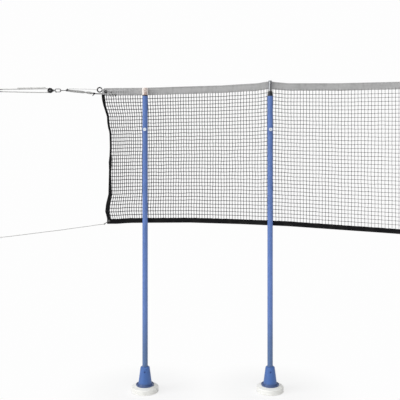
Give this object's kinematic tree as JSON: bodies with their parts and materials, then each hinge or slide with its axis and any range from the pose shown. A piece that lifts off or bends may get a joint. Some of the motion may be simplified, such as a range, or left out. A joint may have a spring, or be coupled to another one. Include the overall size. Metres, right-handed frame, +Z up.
{
  "type": "portable sports net on poles",
  "caption": "Portable sports net with taped edges on telescopic poles with round weighted bases, and at one end a rope tackle with a block, a snap hook and a guy rope.",
  "frame": {"origin": "centre of the left base's underside, on the floor", "axes": "+X along the net from the left pole to the right pole, +Y to the side of the poles where the net hangs, +Z up"},
  "size_m": [2.1534, 0.134, 1.552],
  "materials": {
    "tube_paint": "satin",
    "cone_plastic": "gloss",
    "shell_plastic": "satin",
    "pad_rubber": "matte",
    "core_iron": "matte",
    "black_plastic": "matte",
    "knob_plastic": "gloss",
    "tip_plastic": "matte",
    "steel": "satin",
    "inner_chrome": "polished",
    "cap_plastic": "gloss",
    "black_steel": "satin",
    "sheave_plastic": "satin",
    "net_twine": "matte",
    "tape_fabric": "matte",
    "hem_fabric": "matte",
    "cord_fibre": "matte",
    "pocket_webbing": "matte",
    "eyelet_brass": "satin",
    "rope_grey": "matte",
    "rope_pale": "matte",
    "rope_black": "matte"
  },
  "bodies": {
    "stands": {"left_base_pad": "pad_rubber", "right_base_pad": "pad_rubber", "left_base_core": "core_iron", "right_base_core": "core_iron", "left_base_disc": "shell_plastic", "right_base_disc": "shell_plastic", "left_base_cone": "cone_plastic", "right_base_cone": "cone_plastic", "left_tube_plug": "black_plastic", "right_tube_plug": "black_plastic", "left_outer_tube": "tube_paint", "right_outer_tube": "tube_paint", "left_collar": "black_plastic", "right_collar": "black_plastic", "left_clamp_boss": "tube_paint", "right_clamp_boss": "tube_paint", "base_bolts": "steel", "base_screws": "black_steel"},
    "left_tip": {"left_clamp_tip": "tip_plastic"},
    "left_knob": {"left_clamp_knob": "knob_plastic", "left_clamp_screw": "steel"},
    "right_tip": {"right_clamp_tip": "tip_plastic"},
    "right_knob": {"right_clamp_knob": "knob_plastic", "right_clamp_screw": "steel"},
    "right_inner": {"right_inner_tube": "inner_chrome", "right_inner_bush": "black_plastic", "right_inner_cap": "cap_plastic"},
    "sheave": {"block_sheave": "sheave_plastic"},
    "gate": {"hook_gate": "inner_chrome"},
    "net": {"left_inner_tube": "inner_chrome", "left_inner_bush": "black_plastic", "left_inner_cap": "cap_plastic", "left_side_tape": "hem_fabric", "right_side_tape": "hem_fabric", "netting": "net_twine", "top_tape": "tape_fabric", "bottom_hem": "hem_fabric", "edge_cords": "cord_fibre", "corner_eyelets": "eyelet_brass", "pole_pocket": "pocket_webbing", "pole_clip": "steel", "ring_tab": "tape_fabric", "corner_ring": "steel", "corner_tie": "rope_black", "corner_knot": "rope_black", "lashing": "rope_grey", "ring_line": "rope_pale", "rope_eye": "rope_grey", "snap_hook": "inner_chrome", "gate_rivet": "steel", "block_shackle": "steel", "block_cheeks": "black_steel", "block_axle": "steel", "tackle_rope": "rope_pale", "rope_tail": "rope_pale", "tackle_knot": "rope_grey", "tackle_hook": "steel", "guy_eye": "rope_grey", "guy_rope": "rope_grey", "guy_hook": "steel"}
  },
  "joints": [
    {"name": "left_height", "type": "slide", "parent": "stands", "child": "net", "axis": [0, 0, 1], "range_m": [0, 0.25]},
    {"name": "right_height", "type": "slide", "parent": "stands", "child": "right_inner", "axis": [0, 0, 1], "range_m": [0, 0.25]},
    {"name": "left_clamp_travel", "type": "slide", "parent": "stands", "child": "left_tip", "axis": [0, -1, 0], "range_m": [0, 0.002]},
    {"name": "left_clamp_turn", "type": "hinge", "parent": "left_tip", "child": "left_knob", "pos_m": [0, -0.025, 1.308], "axis": [0, -1, 0], "range_deg": [0, 720]},
    {"name": "right_clamp_travel", "type": "slide", "parent": "stands", "child": "right_tip", "axis": [0, -1, 0], "range_m": [0, 0.002]},
    {"name": "right_clamp_turn", "type": "hinge", "parent": "right_tip", "child": "right_knob", "pos_m": [0.625, -0.025, 1.308], "axis": [0, -1, 0], "range_deg": [0, 720]},
    {"name": "sheave_turn", "type": "hinge", "parent": "net", "child": "sheave", "pos_m": [-0.478, 0.0164, 1.5035], "axis": [0, 1, 0], "continuous": true},
    {"name": "gate_swing", "type": "hinge", "parent": "net", "child": "gate", "pos_m": [-0.44715, 0.0164, 1.496], "axis": [0, -1, 0], "range_deg": [0, 40], "stiffness_Nm_per_rad": 0.02, "springref_deg": -28.65}
  ],
  "couplings": [
    {"joint": "right_height", "follows": "left_height", "ratio": 1},
    {"joint": "left_clamp_turn", "follows": "left_clamp_travel", "rad_per_m": 6283},
    {"joint": "right_clamp_turn", "follows": "right_clamp_travel", "rad_per_m": 6283}
  ]
}
